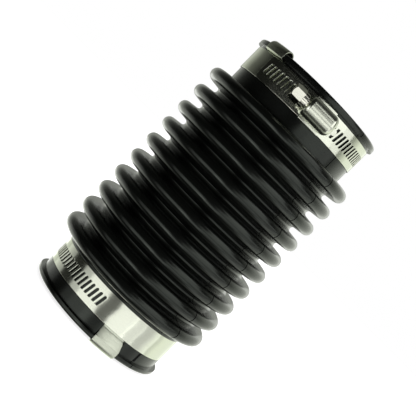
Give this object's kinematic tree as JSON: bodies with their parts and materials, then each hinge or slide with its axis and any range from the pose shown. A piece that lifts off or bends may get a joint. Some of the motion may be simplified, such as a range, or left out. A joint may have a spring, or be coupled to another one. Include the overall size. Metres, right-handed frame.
{
  "type": "rubber bellows boot with hose clamps",
  "caption": "Moulded rubber bellows boot with round ribs and a plain cuff at each end, each cuff carrying a worm-drive hose clamp and a hooked sheet-metal clip.",
  "frame": {"origin": "centre of the lower cuff's end face, on the bore's axis", "axes": "+Z along the boot toward the upper cuff, -Y toward the front, where the upper clamp's housing sits near 10 degrees toward +X"},
  "size_m": [0.1, 0.1061, 0.1752],
  "materials": {
    "boot_rubber": "smooth moulded black rubber with a soft sheen",
    "band_steel": "bright rolled stainless strip",
    "housing_steel": "bright pressed stainless steel",
    "screw_steel": "turned stainless steel",
    "clip_steel": "satin stainless strip"
  },
  "bodies": {
    "boot_and_clamps": {"boot": "boot_rubber", "lower_band": "band_steel", "lower_housing": "housing_steel", "lower_saddle": "housing_steel", "lower_clip": "clip_steel", "upper_band": "band_steel", "upper_housing": "housing_steel", "upper_saddle": "housing_steel", "upper_clip": "clip_steel"},
    "lower_screw": {"lower_screw": "screw_steel"},
    "upper_screw": {"upper_screw": "screw_steel"}
  },
  "joints": [
    {"name": "lower_screw_turn", "type": "hinge", "parent": "boot_and_clamps", "child": "lower_screw", "pos_m": [-0.00857, 0.04578, 0.01466], "axis": [-0.9829, -0.1839, 0.0058], "continuous": true},
    {"name": "upper_screw_turn", "type": "hinge", "parent": "boot_and_clamps", "child": "upper_screw", "pos_m": [0.0079, -0.04572, 0.1596], "axis": [0.9854, 0.1702, 0], "continuous": true}
  ]
}
